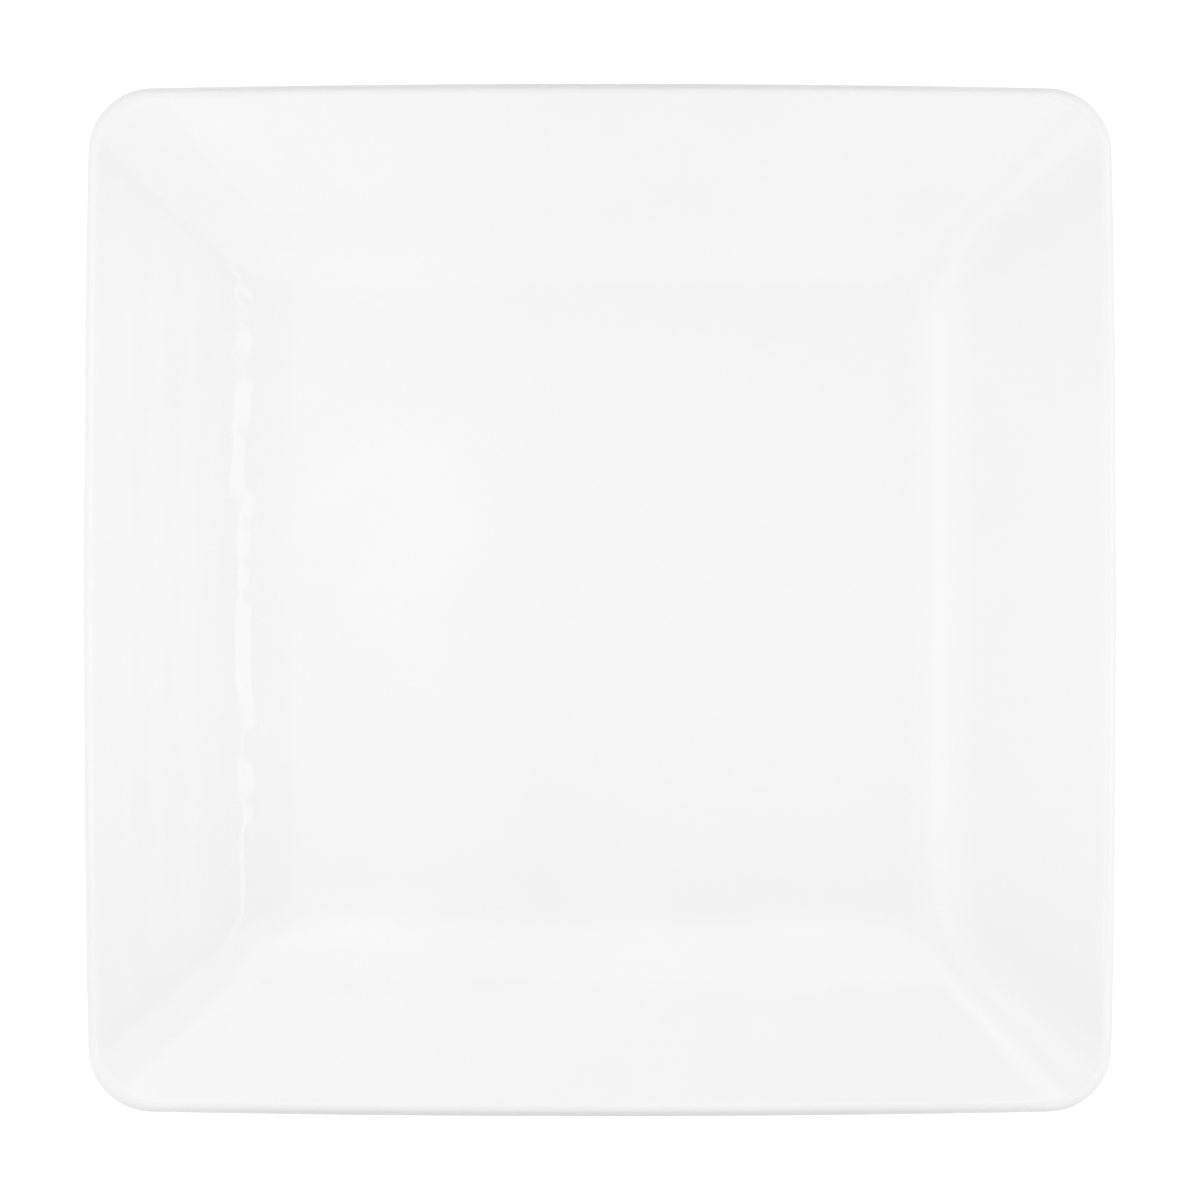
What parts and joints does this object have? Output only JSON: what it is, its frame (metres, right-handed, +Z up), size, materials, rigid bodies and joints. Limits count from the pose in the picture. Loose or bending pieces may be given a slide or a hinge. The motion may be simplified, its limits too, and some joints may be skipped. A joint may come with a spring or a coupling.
{
  "type": "square dinner plate",
  "caption": "Square white melamine plate with a flat floor that sweeps up into a sloped rim, softly bowed sides, rounded corners and a low foot ring, for serving a meal.",
  "frame": {"origin": "on the surface that the plate stands on, below the centre of the plate", "axes": "+Z up, out of the open face; +X and +Y square to two neighbouring sides"},
  "size_m": [0.2666, 0.2666, 0.0245],
  "materials": {
    "melamine_body": "semi-gloss moulded white melamine, buffed at the parting line",
    "glazed_face": "high-gloss clear melamine glaze over white"
  },
  "bodies": {
    "root": {"plate_body": "melamine_body", "face_glaze": "glazed_face"}
  },
  "joints": []
}
